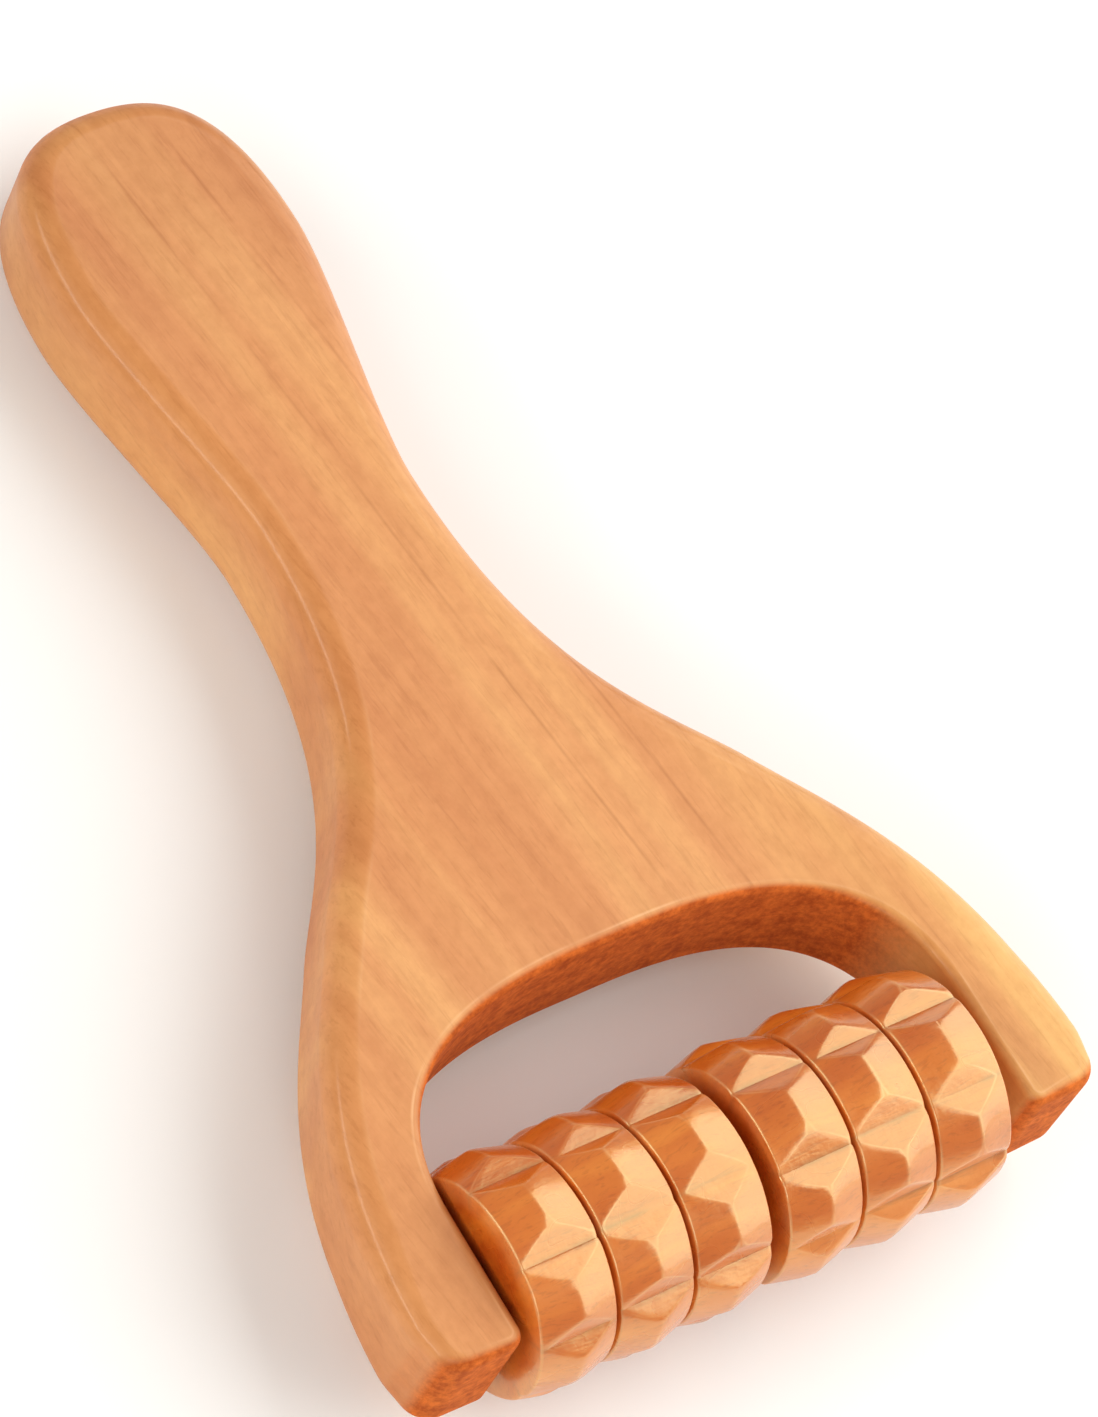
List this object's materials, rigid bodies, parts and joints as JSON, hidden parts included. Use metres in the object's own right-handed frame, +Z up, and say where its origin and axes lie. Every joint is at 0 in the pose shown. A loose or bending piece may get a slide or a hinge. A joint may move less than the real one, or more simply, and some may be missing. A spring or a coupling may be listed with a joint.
{
  "type": "hand-held massage roller",
  "caption": "Hand-held wooden massage roller: a flat waisted paddle whose forked head carries faceted, ribbed wooden rollers that spin on an axle.",
  "frame": {"origin": "on the ground under the middle of the object's box, with the massager lying on its rollers and on the end of its handle", "axes": "+X along the axle, towards the right-hand arm; +Y from the rollers to the end of the handle; +Z up"},
  "size_m": [0.1134, 0.1988, 0.035],
  "materials": {
    "board_wood": "clear lacquered honey-coloured hardwood, satin to gloss",
    "roller_wood": "clear lacquered hardwood, turned and faceted, gloss",
    "plug_wood": "lacquered end-grain wood",
    "axle_steel": "bright drawn rod",
    "washer_nylon": "dark moulded nylon"
  },
  "bodies": {
    "frame": {"paddle_board": "board_wood", "axle_rod": "axle_steel", "axle_hole_plug": "plug_wood", "left_washer": "washer_nylon", "centre_spacer": "washer_nylon", "right_spacer": "washer_nylon"},
    "left_roller": {"left_roller": "roller_wood"},
    "right_roller": {"right_roller": "roller_wood"}
  },
  "joints": [
    {"name": "left_roller_spin", "type": "hinge", "parent": "frame", "child": "left_roller", "pos_m": [-0.0224, -0.08187, 0.0175], "axis": [1, 0, 0], "continuous": true},
    {"name": "right_roller_spin", "type": "hinge", "parent": "frame", "child": "right_roller", "pos_m": [0.01895, -0.08187, 0.0175], "axis": [1, 0, 0], "continuous": true}
  ]
}
